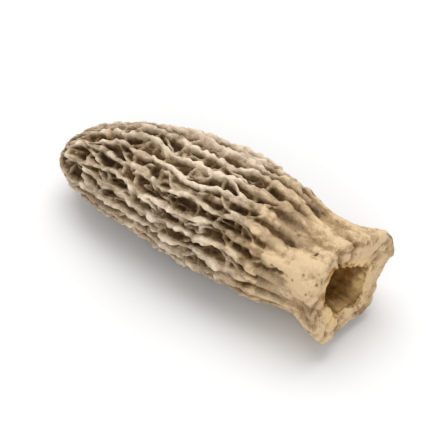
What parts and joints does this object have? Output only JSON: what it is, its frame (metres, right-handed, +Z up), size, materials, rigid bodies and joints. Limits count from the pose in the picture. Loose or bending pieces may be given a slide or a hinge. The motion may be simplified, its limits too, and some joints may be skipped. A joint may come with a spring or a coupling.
{
  "type": "black morel mushroom",
  "caption": "Dried black morel lying on its side: dark, hollow, lengthwise-ridged and pitted cap on a short, pale, hollow stem with a flared, ragged cut end.",
  "frame": {"origin": "on the surface that the mushroom lies on, under the middle of its bounding box", "axes": "+X along the long axis, from the cap's tip towards the stem's cut end; +Z up"},
  "size_m": [0.0498, 0.0192, 0.0176],
  "materials": {
    "cap_flesh": "matt, dried, wrinkled; near-black brown pits under paler grey-cream ridge tops",
    "stem_flesh": "matt, dried, finely granular, cream to tan"
  },
  "bodies": {
    "root": {"cap": "cap_flesh", "stem": "stem_flesh"}
  },
  "joints": []
}
